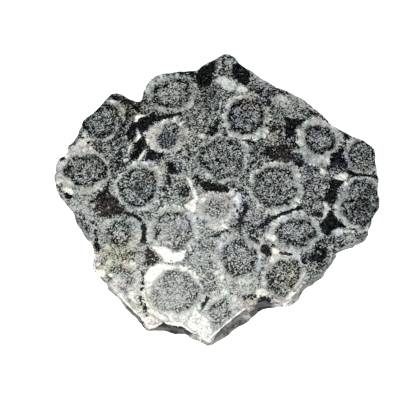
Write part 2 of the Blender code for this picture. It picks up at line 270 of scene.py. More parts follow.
# Dark minerals. A patch has the share of its grains that are dark, and its outline; a seam has
# half its width, that share, and the points along it.
DARK_PATCHES = {
    "north mass": (1, [
        (-7.4, 58.2), (-4, 60.2), (-0.6, 61.4), (-0.4, 58.4), (-1, 55.4), (-1.4, 52.4), (-3, 49.4),
        (-6.7, 49.4), (-8.8, 52.7), (-8.4, 56),
    ]),
    "point dots": (0.36, [(5, 64.4), (7.4, 64.2), (8.6, 61.8), (7.4, 60.4), (5.4, 61.2)]),
    "brow strip": (0.7, [(-17.5, 56.6), (-8, 57.4), (-6.8, 53.6), (-10.5, 53.2), (-12.5, 55)]),
    "north speckle": (0.42, [
        (-1, 61.6), (0, 63.4), (3.6, 64.2), (4.6, 61.6), (6.6, 59.6), (8.4, 57.2), (6.8, 56.8), (4, 57.6),
        (1.4, 58.2), (-0.4, 57.2),
    ]),
    "right of point": (0.86, [
        (9.4, 61), (11.4, 60.6), (13.6, 58), (15.2, 56), (14.8, 51.6), (13.4, 50.2), (11, 50.8), (9, 52.8),
        (7, 56.6), (7, 59.8),
    ]),
    "north-east gap": (0.52, [
        (14.8, 47.4), (18, 49), (22, 48.8), (27.6, 47.4), (29.6, 46.2), (27, 45), (24.6, 44), (24.2, 40.4),
        (23, 38.6), (21.6, 41), (19, 44.4), (16, 45.6),
    ]),
    "gap foot": (0.7, [
        (16.4, 45), (19.6, 43.4), (23, 44.2), (24.8, 43.6), (24, 40), (22, 39.4), (19, 42.4),
    ]),
    "notch speckle": (0.5, [(21.6, 31), (25, 30.6), (29, 29), (29, 26), (26, 25.6), (22, 28.4)]),
    "left of centre": (0.5, [(-25, 2), (-21, 1.6), (-17.6, 0), (-19, -3), (-22, -4), (-24.6, -2)]),
    "shoulder speckle": (0.45, [(49.5, -21.5), (53.5, -22.4), (54, -25), (50.5, -26.4), (48.5, -24.4)]),
    "ledge bite": (1, [(-18, -58.6), (-15.6, -58.4), (-13, -59.6), (-11.6, -62), (-16.4, -61.4)]),
    "below pale": (0.6, [(13.2, -17.8), (16.8, -17.6), (17, -21.2), (14, -21.6)]),
    "arch": (1, [
        (-34, 33.4), (-32.6, 34.4), (-29.9, 35.1), (-27.3, 35.4), (-24.4, 35.1), (-19.4, 35.9),
        (-15.2, 36.2), (-19.4, 34.2), (-24, 32.6), (-26.9, 31.9), (-29.4, 30.2), (-31.2, 27.7),
        (-32.9, 26.4), (-33.6, 28.6), (-34.6, 31),
    ]),
    "arch foot": (1, [
        (-34.4, 32.6), (-34.2, 30.6), (-35.1, 28.4), (-35, 24.4), (-36.4, 23.4), (-38.2, 24.3),
        (-38.4, 27.5),
    ]),
    "arch stub": (0.95, [
        (-33.4, 23.9), (-31.2, 23.9), (-30, 22), (-31.6, 18.9), (-33.9, 15.6), (-36.4, 13.6), (-37.2, 15),
        (-35.8, 18.2), (-34.9, 21.2),
    ]),
    "under cream left": (0.9, [
        (-28.3, 19.3), (-23.1, 16.9), (-23.3, 15.4), (-26.2, 14.8), (-30.4, 15.4), (-29.9, 17.2),
    ]),
    "under cream right": (0.8, [
        (-22, 12.9), (-19.2, 12.2), (-16.7, 10.6), (-17.3, 8), (-19.9, 6.9), (-21.2, 9.1),
    ]),
    "under cream tail": (0.75, [(-21.9, 6.9), (-20.1, 6.9), (-18.9, 3.8), (-20.5, 2.6)]),
    "left of wedge": (0.6, [(-15.2, 1.9), (-11.7, 2.4), (-10.7, -0.9), (-13.5, -3.6), (-16, -1.5)]),
    "wedge": (1, [
        (-10.2, 7.8), (-8.2, 6.8), (-6, 5), (-3, 3.8), (0, 3), (3, 2.4), (5.6, 1.2), (4.8, -1), (1.6, -0.4),
        (-2.6, -0.2), (-5.4, 0.4), (-6.6, 2.4), (-8.4, 5.4),
    ]),
    "wedge end": (0.5, [(5, 2), (8, 0.8), (12.6, 0.6), (12.8, -1.6), (8, -1), (5, 0.4)]),
    "above middle": (0.75, [(1.5, 33.5), (1, 29.5), (0.6, 26.8), (-2.4, 25.8), (-4.5, 26.5), (-3, 29)]),
    "north-west mottle a": (0.6, [(-44.6, 14.6), (-42.6, 18.4), (-40.4, 18), (-39.6, 9.4), (-43, 11)]),
    "bay": (0.85, [
        (-42, 43.6), (-37.3, 43.3), (-33, 44.2), (-32, 43.4), (-32.6, 41.4), (-37, 40.6), (-40.5, 40.1),
    ]),
    "bay floor": (0.62, [
        (-37, 43), (-32.5, 41.5), (-33.5, 37), (-38, 38), (-42, 35), (-43, 28), (-41, 26), (-38, 33),
    ]),
    "north-west edge": (0.7, [(-58.4, 31.9), (-55.5, 31.2), (-54.8, 27.6), (-57.6, 28.4)]),
    "north-west corner": (0.6, [(-47.4, 44.9), (-43.2, 45.6), (-42.5, 43), (-46.3, 42.6)]),
    "nose speck": (0.75, [(-59.2, 25.2), (-57.2, 25.4), (-57, 24), (-58.8, 23.8)]),
    "nose speck low": (0.8, [(-56.4, 23.4), (-55, 23.2), (-54.4, 21.8), (-55.8, 21.8)]),
    "nose top": (0.8, [(-67.7, 16.4), (-65.2, 16.5), (-65.5, 14.6), (-67.7, 13.4)]),
    "above east heart": (1, [
        (29.6, 34.8), (34.8, 33.3), (38.8, 33.8), (38.5, 31.7), (35.4, 30.1), (34, 26.8), (33, 25),
        (30.6, 25), (29.8, 26.9), (30.3, 31.2),
    ]),
    "brown mass": (0.76, [
        (21.2, 20.6), (27.5, 21.4), (31.2, 20), (32.4, 17), (35, 14.4), (36.4, 11.2), (33.8, 12.7),
        (31.7, 14.3), (24.3, 14.8), (21.2, 16.4),
    ]),
    "below heart": (0.9, [(32.2, 22.8), (34.8, 23), (35, 20.6), (32.4, 20.4)]),
    "brown mass right": (0.75, [(34, 14.8), (36.6, 14.2), (37.6, 12), (35.5, 11.2), (33.5, 13)]),
    "north-east edge": (0.45, [(39.8, 37.8), (43.5, 38.2), (45.8, 36.2), (44.5, 34.5), (40.6, 35.4)]),
    "east triangle": (0.7, [
        (54.6, 20), (55, 17), (56.4, 13.3), (56.4, 11.2), (50.6, 10.6), (47, 9.8), (48.4, 13.8), (49.6, 17),
        (52.4, 18.4),
    ]),
    "east block": (1, [
        (48.2, 4.3), (54.3, 4.5), (53, 2.3), (51.4, 0), (50.9, -2.5), (49.8, -5), (47, -5.2), (45.8, -2.5),
        (48.2, 1),
    ]),
    "east lower triangle": (1, [
        (48.7, -8.8), (50.4, -12.6), (54.4, -16.2), (49.5, -16.9), (47.2, -19.7), (45.2, -19.3),
        (43.4, -15.4), (44.8, -13.2), (47, -10.5),
    ]),
    "east mottle": (0.7, [(41, -8.7), (44.6, -7.9), (44.7, -11.8), (42, -12.4)]),
    "south-east mottle": (0.66, [
        (43.6, -24), (45, -27), (44, -31), (42, -34.5), (41, -34), (41, -31.8), (36.4, -33), (35.2, -31),
        (39, -28.4), (40, -25.6),
    ]),
    "south-east mottle heart": (0.75, [(45, -25), (45.5, -29), (43, -31), (41, -29.5), (42.5, -26.5)]),
    "pale middle edge": (0.7, [
        (12, -5), (14, -6), (14.4, -7.6), (13, -9), (11.4, -12.6), (10.4, -15.6), (8, -17), (7, -16.2),
        (8.6, -13.2), (10, -10.1), (11.2, -8),
    ]),
    "dot by south": (1, [
        (18.8, -24), (20.8, -24), (22.2, -25.6), (22.8, -28), (22.4, -29.5), (21, -29.3), (19, -27.4),
        (18.2, -25.6),
    ]),
    "small dot": (0.9, [(23.1, -23.9), (24.1, -24), (24.1, -25), (23.1, -24.9)]),
    "brown lens": (0.95, [(25.7, -27.2), (28.2, -26.9), (31.1, -28.6), (28, -28.6)]),
    "south bay": (1, [
        (16.6, -46.6), (20.6, -46.4), (22, -48.6), (24, -50.6), (20, -52.6), (15.4, -52.6), (13.4, -53),
        (14, -51.4), (16, -49.6),
    ]),
    "south bay strip": (0.65, [(11.2, -45.4), (16.2, -44.9), (16.2, -47), (11.4, -47.6)]),
    "west dot": (0.95, [(-64.4, -1.4), (-61.8, -1.8), (-61.6, -4.6), (-63.5, -3.9)]),
    "brown patch": (0.72, [
        (-48.5, 0.8), (-45.5, 0), (-43.5, -2.5), (-41, -5), (-39.5, -7.5), (-37, -9.5), (-42, -11.2),
        (-46, -12.5), (-50, -11.5), (-52, -8.5), (-51, -6),
    ]),
    "brown patch arm": (0.95, [
        (-53.4, -4.3), (-50.5, -2.2), (-47.6, 0.4), (-46.2, -1), (-48.5, -3), (-52.6, -5.6),
    ]),
    "brown patch heart": (0.85, [(-47.5, -3.5), (-43.5, -3.2), (-41, -6), (-44, -8), (-48, -6.5)]),
    "cluster": (0.72, [
        (-29, -25), (-27.6, -26), (-26, -28), (-24, -29.8), (-23, -30.8), (-25, -31.6), (-27.2, -33),
        (-29.6, -32.8), (-29.8, -29),
    ]),
    "speckle strip": (0.58, [(-31.8, -46.3), (-30.2, -46), (-27.4, -53), (-29.6, -54), (-31.8, -50)]),
    "west edge mottle": (0.7, [(-51.4, -19.8), (-49.6, -20.4), (-48.6, -26.3), (-50.6, -26.6)]),
    "west edge mottle b": (0.55, [
        (-58.4, -10), (-55.6, -10.6), (-53.6, -15.6), (-52.8, -19), (-55, -18.8), (-57.8, -14),
    ]),
    "khaki clumps": (0.5, [(-37, -27.6), (-35, -26.6), (-33.4, -28), (-34.4, -30.8), (-36.6, -30.8)]),
    "small orb dots": (0.5, [(-44.9, -38.2), (-43.8, -38.2), (-43.8, -39.4), (-44.9, -39.4)]),
    "white orb dot": (0.7, [(-31.4, -42.2), (-30.3, -42.2), (-30.3, -43.2), (-31.4, -43.2)]),
    "orb notch line": (0.4, [(-46.2, -29.1), (-45.4, -30.2), (-48.9, -34.4), (-50.2, -33.6)]),
}

DARK_SEAMS = {
    "orb gap": (0.6, 0.75, [(-31.4, -35.4), (-30.3, -38), (-30.6, -40.6)]),
    "pale middle seam": (0.7, 0.9, [(9, -8.8), (10, -11.4), (11.6, -14)]),
    "oval seam": (0.75, 1, [
        (18.8, -15.4), (19.1, -14.3), (22.7, -12.5), (27.5, -10.6), (31.7, -8.8), (35.5, -7.4),
    ]),
    "oval seam blob": (1.25, 1, [(18.6, -15.6), (20.2, -14.4), (22.2, -13)]),
    "east seam": (0.5, 0.95, [(57.2, 7.6), (59, 6.9), (62.3, 7.1), (68.7, 6.1)]),
    "east seam blob": (0.9, 1, [(56.6, 8.6), (58.4, 7.3), (61, 7.2)]),
    "corner seam": (0.4, 0.9, [(56.2, 24.3), (55.9, 20.6)]),
    "north-east seam": (0.35, 0.9, [(46.5, 33.8), (49.3, 31.9), (54.5, 27.5), (57.2, 24.6)]),
    "heart arc": (0.8, 0.95, [
        (-40, -9.5), (-35.7, -10.6), (-32.1, -13.1), (-30.7, -15.9), (-30.4, -19.5), (-29.6, -23.1),
    ]),
    "heart arc foot": (1.0, 1, [(-30, -17), (-30.6, -19.8), (-31.2, -22.6)]),
    "middle seam": (0.32, 1, [(2, 26.3), (4.3, 25.6), (8.5, 24.2), (13.8, 23), (17.5, 22)]),
    "south-west rim dots": (0.55, 1, [(-36.4, -50.4), (-34.6, -52.4), (-32.4, -54.6), (-29.8, -57.2)]),
    "south tail": (0.5, 0.5, [(20.7, -29.5), (19.6, -32.7), (18.6, -34.1), (17.5, -36.3), (17, -39.1)]),
    "grey line": (0.5, 0.65, [(-1.1, -22), (-2.5, -26), (-2.9, -32.7)]),
    "south top line": (0.5, 0.8, [(-1.8, -20.6), (1.5, -19.3), (4.4, -17.6)]),
    "tip line": (0.55, 0.45, [(-0.4, -39.1), (-1.6, -41.8), (-3.2, -45.2)]),
    "tip stroke": (0.65, 0.95, [(-3.6, -46.8), (-5.2, -49.4), (-6.9, -52)]),
    "tip top line": (0.4, 0.5, [(5, -45.2), (8, -45.3), (11, -45.8)]),
    "orb two line": (0.6, 0.6, [(-40.8, 36), (-42, 29), (-44.5, 24.5)]),
}

# White and cream minerals in the same two forms, with how white they are in place of the share.
WHITE_PATCHES = {
    "arch white": (1.1, [
        (-35, 35.3), (-30.8, 35.4), (-31.5, 34.4), (-32.6, 33), (-33.4, 31.2), (-34.8, 31.6), (-35.4, 32.4),
    ]),
    "arch spike": (1.1, [
        (-34, 29.8), (-33.9, 27.2), (-32.6, 25.8), (-32.9, 23.6), (-34.6, 22.4), (-34.5, 25.2),
    ]),
    "arch lumps": (0.75, [
        (-35.1, 22.4), (-36.5, 19.8), (-36.9, 17.1), (-38.2, 16.3), (-38.6, 19.1), (-37.6, 21.3),
    ]),
    "arch lumps low": (0.8, [(-37.1, 15.3), (-38.2, 13.4), (-40.8, 12.8), (-40.2, 14.6)]),
    "cream foot": (0.9, [
        (-29.9, 18.9), (-31.4, 15.4), (-32.6, 13.7), (-34.2, 14.2), (-32.8, 16.4), (-31.2, 18.9),
    ]),
    "point bridge": (0.74, [(0.6, 58.8), (3.2, 60.6), (5.4, 60), (5.4, 58.2), (2, 57.8)]),
    "north blob": (0.76, [
        (-0.4, 53), (1, 54.2), (3.6, 54.6), (6.4, 54.2), (8.4, 52.4), (9.2, 49.8), (7.8, 47.6), (5.4, 47),
        (2.4, 48.8), (0.2, 51),
    ]),
    "north blob tail": (0.85, [(9.4, 50), (11.6, 49.8), (14, 48.4), (14, 46.4), (11, 45.8), (9, 47.4)]),
    "north-east patch": (0.62, [
        (25.4, 45.4), (28.4, 46), (31.4, 44.4), (33, 41), (32.4, 38.6), (30, 38.2), (27.6, 39.8),
        (25.6, 42.2),
    ]),
    "north-east bevel": (0.64, [
        (16.4, 56.2), (20, 53.8), (23, 51.4), (21.6, 50), (18.6, 51.2), (16.4, 53.4),
    ]),
    "north-east bevel low": (0.58, [
        (30, 47.2), (34, 45), (39, 41.4), (44.6, 37.2), (43.6, 35.6), (40, 38.4), (35.6, 41.6),
        (31.6, 44.4),
    ]),
    "left of middle": (0.7, [(-8.4, 26.2), (-5.2, 26.7), (-3.4, 24.6), (-5.4, 23.2), (-7.4, 24)]),
    "wedge left vein": (1, [
        (-12.9, 6.5), (-11.4, 6), (-9.8, 3.4), (-9, 1), (-7.8, -1.4), (-7.2, -4.4), (-9.6, -4.2),
        (-10.8, 0), (-11.8, 3),
    ]),
    "wedge under": (0.68, [(-6.6, -0.4), (-2, -1.4), (2.4, -1.8), (3, -3.6), (-4, -3), (-7.8, -3.8)]),
    "under wedge tail": (1, [
        (-10, -3.6), (-8.2, -4), (-8.6, -9.4), (-10.6, -9.9), (-13.8, -7), (-12.4, -5.4),
    ]),
    "nose cream": (0.72, [
        (-63.4, 17.8), (-61, 21), (-59, 25), (-57.4, 27.4), (-55, 26), (-53.6, 23.4), (-54, 20.6),
        (-57, 19.8), (-60.4, 18.4),
    ]),
    "nose foot": (0.82, [(-66, 0.8), (-63.6, 3), (-60.8, 1.2), (-60.6, -2.6), (-64, -1.6)]),
    "nose foot b": (0.5, [(-57.4, 1.6), (-52, 1.9), (-49.4, -0.6), (-52.6, -2.2), (-56.6, -2.8)]),
    "below north-east": (0.95, [(44.6, 10.6), (46.6, 9.8), (47, 7.6), (44.9, 7.2), (43.9, 8.6)]),
    "east bright": (0.9, [(50.2, 6.9), (53.6, 8.2), (56.4, 8.2), (55.6, 5), (53, 4.4), (50.2, 5.4)]),
    "east star": (0.8, [
        (44.8, -5.2), (46.6, -5.4), (47.6, -7.4), (49.8, -7), (48, -9.6), (46, -11.6), (44.4, -13.4),
        (43.9, -12.2), (45.3, -9),
    ]),
    "east tongue": (0.8, [
        (48.7, -17.6), (51.5, -16.7), (55, -17.4), (57.4, -16.8), (56, -18.4), (51, -20.2), (49.4, -19.4),
    ]),
    "between whites": (1, [
        (-27.4, -24.2), (-24, -24.4), (-20.4, -25), (-18.4, -26.4), (-16, -26.8), (-12.6, -25.8),
        (-13.4, -30), (-15.6, -31.6), (-19, -32.4), (-22.2, -31.4), (-23.2, -29.2), (-26, -26.8),
    ]),
    "white orb rim": (1, [
        (-28.6, -34.6), (-24.4, -32), (-18, -32.6), (-16.6, -34.4), (-21, -35.2), (-23.4, -37), (-26, -40),
        (-27.6, -42.6), (-29.4, -42.6), (-29.6, -38),
    ]),
    "left of south-east oval": (0.9, [
        (19.4, -18.4), (23, -19.2), (25.4, -20.2), (24.4, -22.8), (22, -22.4), (20, -20.6),
    ]),
    "under dot": (0.95, [
        (23, -24.8), (26.8, -26.4), (31.2, -29.4), (28, -29.4), (24.2, -28.6), (22.8, -28.2),
    ]),
    "south bay cream": (0.9, [(15.6, -43.4), (18.6, -42.4), (21.4, -44.6), (19.6, -46.2), (16.4, -46.8)]),
    "south bay tan": (0.55, [(11, -47.4), (15.5, -47.2), (16.8, -48), (14, -51), (11.4, -52.2)]),
    "right of bay": (0.75, [(22.4, -46), (24.6, -47), (28.4, -48.2), (26, -49.2), (23.6, -48.6)]),
    "south-east cream": (0.8, [
        (31.6, -43.8), (36, -38.2), (37.2, -34.4), (35.4, -35.6), (32.6, -40.4), (30, -44.2),
    ]),
    "south-east foot": (0.9, [(27.4, -47.6), (29.8, -44), (33, -43.8), (34, -45), (31.4, -48.4)]),
    "north-east orb foot": (0.66, [(32.4, 18.4), (35.6, 19.8), (37.4, 18), (34.6, 16.6)]),
    # Partly painted sheen: the white at the tip also stands in for the soft reflection on the polish there.
    "tip white": (0.9, [
        (-8.8, -49.6), (-7.6, -52.6), (-4.6, -54.4), (-2.6, -57.4), (-1.8, -61), (-4.4, -64.6),
        (-9.8, -60.6), (-14, -58), (-12, -55.6), (-10.6, -53.2),
    ]),
    "notch cream": (0.9, [(-50, -34.6), (-46.6, -34.2), (-45.4, -36.6), (-47.2, -38.6), (-49.6, -36.4)]),
    "small orb white": (0.9, [(-45.2, -36.2), (-43.2, -36.2), (-42.8, -38.2), (-44.8, -38.4)]),
    "south-west edge white": (0.9, [
        (-37.4, -45.2), (-34.4, -43.4), (-33.2, -47), (-31.6, -50.2), (-34.8, -48.6),
    ]),
    "small orb right": (0.75, [(-36.6, -44.6), (-33.2, -41.8), (-31, -38.4), (-32.6, -46)]),
}

WHITE_VEINS = {
    "north point edge": (0.6, 0.85, [(3.4, 43.4), (2, 41.4), (1.6, 38.4), (1, 35.6), (-0.4, 33.8)]),
    "shelf vein": (0.5, 0.8, [(-36, 40), (-30.5, 38.6), (-24, 38.8), (-19, 38.2)]),
    "brown patch streak": (0.5, 0.6, [(-51.2, -4.6), (-49.5, -3.4), (-47.8, -1.8)]),
    "north-east white edge": (0.8, 0.8, [(45.5, 33.4), (49.2, 30.6), (52.8, 28.2)]),
    "white orb left": (1.4, 0.9, [
        (-27, -34.6), (-29.6, -38.4), (-30.4, -43), (-29.6, -48), (-26.6, -52.4), (-21, -55.4),
    ]),
}

# The painted highlight along the lip of the polished face: half its width, its strength and the points
# along it.
LIP_HIGHLIGHTS = {
    "south-west lip": (0.4, 1, [
        (-39, -46.6), (-37, -48.7), (-34, -52.1), (-31, -55), (-28, -58.2), (-25.2, -58.4), (-22, -57.2),
        (-19, -57.4), (-16, -57.6), (-13.4, -58.6), (-11.6, -60.6), (-10, -61.6), (-7, -62.8), (-4, -64.6),
    ]),
    "tip lip": (0.4, 1, [(-4, -64.6), (-1, -61.4), (2, -58.9), (5, -56.1), (8, -53.6), (10.8, -51.4)]),
    "south-east lip": (0.3, 0.9, [(29.5, -46.6), (32, -44.7), (34, -42.2), (36, -39.9)]),
}

# Tone of the broken rim, chosen after the photo's tones were measured across it: x, y and tone of
# each zone.
RIM_ZONES = [
    (-66, -3, 0.44), (-60, -9, 0.34), (-56.5, -14, 0.26), (-53, -22, 0.36), (-50.5, -30, 0.60),
    (-49.5, -35.5, 0.68), (-46, -38.5, 0.40), (-43, -42, 0.38), (-40, -46.5, 0.36), (-37, -50.5, 0.34),
    (-34, -54, 0.30), (-31, -57, 0.32), (-28, -60, 0.40), (-25, -60, 0.14), (-22, -59.5, 0.02),
    (-19, -60, 0.08), (-16, -60.5, 0.07), (-13, -61.5, 0.04), (-10, -62.5, 0.42), (-7, -64, 0.54),
    (-4, -66.5, 0.29), (-1, -64, 0.30), (2.5, -61, 0.33), (6, -58, 0.33), (9, -55.5, 0.25),
    (12, -52.5, 0.58), (14.5, -50.5, 0.36), (17.5, -50, 0.13), (21, -49.5, 0.13), (25.5, -50, 0.58),
    (29, -49.5, 0.68), (33, -46, 0.50), (37, -42, 0.31), (41, -38.5, 0.34), (46, -33, 0.42),
    (52, -26.5, 0.42), (57, -24, 0.41), (61, -22, 0.38), (64.5, -15, 0.26), (68, -6, 0.30),
    (11.4, -55, 0.28),
]

# The pale foot of the ledge in the south, in the same form as the lip highlights.
FEET = {"ledge foot": (1.0, 1, [(-28.6, -60.8), (-26, -61.4)])}

# How the solid's rim is taken over: vertices closer than WELD are one, those within LEVEL of a sawn
# face lie on it, and each edge is cut and smoothed so many times. The whole stone is shaded smooth
# but for the folds over the sharp angle.
WELD = 0.001
LEVEL = 0.01
RIM_CUTS = 3
RIM_SMOOTHING = 5
SHARP_ANGLE = radians(38.0)

# The grain of the break: strength and width of its two sizes, and how far it stands out.
BREAK_GRAINS = ((0.9, 2.6), (0.6, 1.1))
BREAK_LIFT = 0.8

# Chips along the upper edge: their width, how deep and how far down they bite, and how rare they are.
CHIP_WIDTH = 2.4
CHIP_DEPTH = 0.4
CHIP_REACH = 1.6
CHIP_RARITY = 0.12

# The triangles of the sawn faces. Their inner points keep away from the edge by a share of their
# spacing, or of 1 mm where the spacing is wider, and triangles outside the edge are left out.
EDGE_GAP = 0.6
INSIDE_ONLY = 1
TRIANGLE_TOLERANCE = 1e-5

# The markings waver a little everywhere, and drift further the deeper they lie in the stone. The
# shift keeps the noises of the shape and of the markings apart.
NOISE_SEED = 1
NOISE_SHIFT = Vector((17.3, 4.1, 9.7))
WAVER = 0.3
WAVER_WIDTH = 3.1
DEEP_DRIFT = 1.6
DRIFT_WIDTH = 9.0

# Widths of the soft edges of marks and orbs, and of the dark specks that gather round a dark patch.
DARK_SOFTNESS = 1.8
GLOOM_SOFTNESS = 8.0
WHITE_SOFTNESS = 2.2
CREAM_SOFTNESS = 2.0
ORB_SOFTNESS = 0.7

# The heart of a core starts this share of the way in, and is full at the next.
HEART_START = 0.45
HEART_FULL = 0.95

# Tones where no zone is near, how much they weigh against the zones, and the reach of a rim zone.
ROCK_TONE = 0.5
ROCK_WEIGHT = 1e-4
RIM_TONE = 0.4
RIM_WEIGHT = 1e-3
RIM_REACH = 2.2

# The lip's painted highlight and the painted shadow under it on the rim, as depths below the polish:
# the painted shadow darkens the rim a little from the first depth to the second. The pale foot goes by
# its height above the lower face.
LIP_HIGHLIGHT_WIDTH = 1.2
LIP_HIGHLIGHT_DEPTH = 0.7
PAINTED_LIGHT_SOFTNESS = 0.8
PAINTED_SHADOW_FROM = 0.8
PAINTED_SHADOW_TO = 3.0
UNDER_LIP_SHADOW = 0.1
FOOT_HEIGHT = 2.5
FOOT_LIFT = 0.35
RIM_SOFTNESS = 2.0

# The map of the surface, one square sheet with its side in millimetres. The rim lies on it in rows,
# and each of its points goes by the nearest point of the upper edge, give or take the slip.
SHEET = 200.0
RIM_ROWS = 3
ROW_HEIGHT = 16.0
ISLAND_GAP = 3.0
LOWER_FACE_SCALE = 0.38
EDGE_SLIP = 0.3

# A tone is as the eye sees it, from 0 to 1. Raised to this power it is the share of light sent back.
TONE_POWER = 2.2

# The floor lies this far below the slab, in metres, so that the two never meet.
FLOOR_DROP = 0.0002


def metres(name, description, default, least=0.0):
    """A size in metres."""
    return FloatProperty(name=name, description=description, default=default, min=least, unit="LENGTH")


def location(name, description, default):
    """A point in metres."""
    return FloatVectorProperty(
        name=name, description=description, default=default, subtype="XYZ", unit="LENGTH"
    )


def factor(name, description, default, most=1.0):
    """A number from 0 to the most."""
    return FloatProperty(
        name=name, description=description, default=default, min=0.0, max=most, subtype="FACTOR"
    )


def tint(name, description, default):
    """A colour that the tone is multiplied by."""
    return FloatVectorProperty(
        name=name, description=description, default=default, min=0.0, max=1.2, subtype="COLOR"
    )


class StoneSettings(bpy.types.PropertyGroup):
    """Sizes and colours of the rock."""

    grain: metres("Grain size", "Width of the larger grains", 0.00075, 0.0002)
    fine_grain: metres("Fine grain size", "Width of the smaller grains", 0.00043, 0.0001)
    contrast: factor("Grain contrast", "How far the grains differ in tone", 1.5, 2.0)
    cluster: factor("Clusters", "How far clusters of grains differ in tone", 0.05)
    fibre: factor("Fibre", "Strength of the radial fibres in the orbs", 0.19)
    face_spacing: metres("Polished face mesh", "Spacing of the mesh on the polished face", 0.0005, 0.0003)
    back_spacing: metres("Lower face mesh", "Spacing of the mesh on the lower face", 0.0015, 0.0005)
    fracture: metres("Fracture depth", "Depth of the grain of the broken rim", 0.00018)
    polish: factor("Polished roughness", "Roughness of the polished face", 0.16)
    broken: factor("Broken roughness", "Roughness of the broken rim", 0.62)
    dark_tint: tint("Dark grains", "Tint of the darker minerals", (0.89, 1.0, 0.98))
    pale_tint: tint("Pale grains", "Tint of the paler minerals", (1.0, 1.0, 0.93))
    cream_tint: tint("Cream", "Tint of the cream feldspar", (1.03, 0.99, 0.89))
    green_tint: tint("Green grey", "Tint of the greenish rock", (0.92, 1.0, 0.92))
    olive_tint: tint("Olive", "Tint of the rock altered to green", (1.02, 1.0, 0.78))
    brown_tint: tint("Brown", "Tint of the brown mica", (1.15, 0.92, 0.74))
    blue_tint: tint("Blue grey", "Tint of the bluish dark grains", (0.9, 0.98, 1.14))
    broken_tint: tint("Broken rim", "Tint of the broken rim", (1.0, 0.97, 0.93))


class StageSettings(bpy.types.PropertyGroup):
    """The floor, the lights and the camera."""

    focus: location("Looked at", "The point in the middle of the picture", (-0.007, -0.0005, 0.0))
    distance: metres("Camera distance", "From the point looked at to the camera", 0.434)
    elevation: FloatProperty(
        name="Elevation", description="Angle of the view above the floor", default=radians(70.0),
        unit="ROTATION",
    )
    lens: FloatProperty(name="Lens", description="Focal length", default=90.0, unit="CAMERA")
    floor_size: metres("Floor", "Side of the floor", 12.0)
    floor_tone: factor("Floor tone", "How pale the floor is", 0.9)
    floor_glow: factor("Floor glow", "Light of the floor's own, as of a light table", 1.0, 2.0)
    key_place: location("Key light", "Middle of the key light", (-0.42, -0.46, 0.55))
    key_size: metres("Key light size", "Width of the key light", 0.3)
    key_power: FloatProperty(
        name="Key light power", description="Power of the key light", default=9.0, unit="POWER"
    )
    lamp_place: location("Overhead light", "Middle of the overhead light", (-0.0175, 0.214, 1.0))
    lamp_size: metres("Overhead light size", "Width of the overhead light", 0.2)
    lamp_power: FloatProperty(
        name="Overhead light power", description="Power of the overhead light", default=0.14, unit="POWER"
    )
    wall_tone: factor("Wall tone", "Brightness of the pale walls round the table", 0.9, 2.0)
    ceiling_tone: factor("Ceiling tone", "Brightness of the dark ceiling", 0.015)


class Wire:
    """A node's output that reads like a number, a vector or a colour in an expression."""

    def __init__(self, tree, socket):
        self.tree = tree
        self.socket = socket

    @property
    def wide(self):
        """Whether it is a vector or a colour."""
        return self.socket.type in {"VECTOR", "RGBA"}

    def _maths(self, operation, first, second):
        """Works out two values, spread to three numbers each where one of them is wide."""
        if any(isinstance(value, Wire) and value.wide for value in (first, second)):
            values = [self.tree.spread(value) for value in (first, second)]
            return self.tree.node("ShaderNodeVectorMath", {"operation": operation}, dict(enumerate(values)))
        return self.tree.node("ShaderNodeMath", {"operation": operation}, {0: first, 1: second})

    def __add__(self, other):
        return self._maths("ADD", self, other)

    def __radd__(self, other):
        return self._maths("ADD", other, self)

    def __sub__(self, other):
        return self._maths("SUBTRACT", self, other)

    def __rsub__(self, other):
        return self._maths("SUBTRACT", other, self)

    def __mul__(self, other):
        return self._maths("MULTIPLY", self, other)

    def __rmul__(self, other):
        return self._maths("MULTIPLY", other, self)

    def __pow__(self, other):
        return self._maths("POWER", self, other)

    def __abs__(self):
        return self.tree.node("ShaderNodeMath", {"operation": "ABSOLUTE"}, {0: self})

    def most(self, other):
        """The larger of the two."""
        return self._maths("MAXIMUM", self, other)

    def least(self, other):
        """The smaller of the two."""
        return self._maths("MINIMUM", self, other)

    def unit(self):
        """The vector's direction, at length 1."""
        return self.tree.node("ShaderNodeVectorMath", {"operation": "NORMALIZE"}, {0: self})

    def scaled(self, number):
        """The vector times a number."""
        return self.tree.node("ShaderNodeVectorMath", {"operation": "SCALE"}, {0: self, "Scale": number})

    def part(self, axis):
        """One number of a vector or a colour: X, Y or Z."""
        return self.tree.node("ShaderNodeSeparateXYZ", {}, {0: self}, axis)

    def step(self, low, high):
        """0 below low and 1 above high, with a smooth rise between them."""
        rise = {0: self, 1: low, 2: high}
        return self.tree.node("ShaderNodeMapRange", {"interpolation_type": "SMOOTHSTEP"}, rise)

    def band(self, middle, half_width):
        """1 at the middle, falling evenly to 0 at half a width from it."""
        return 1.0 - (abs(self - middle) * (1.0 / half_width)).least(1.0)

    def mixed(self, low, high):
        """Low where this is 0 and high where it is 1, for numbers."""
        return low + self * (high - low)


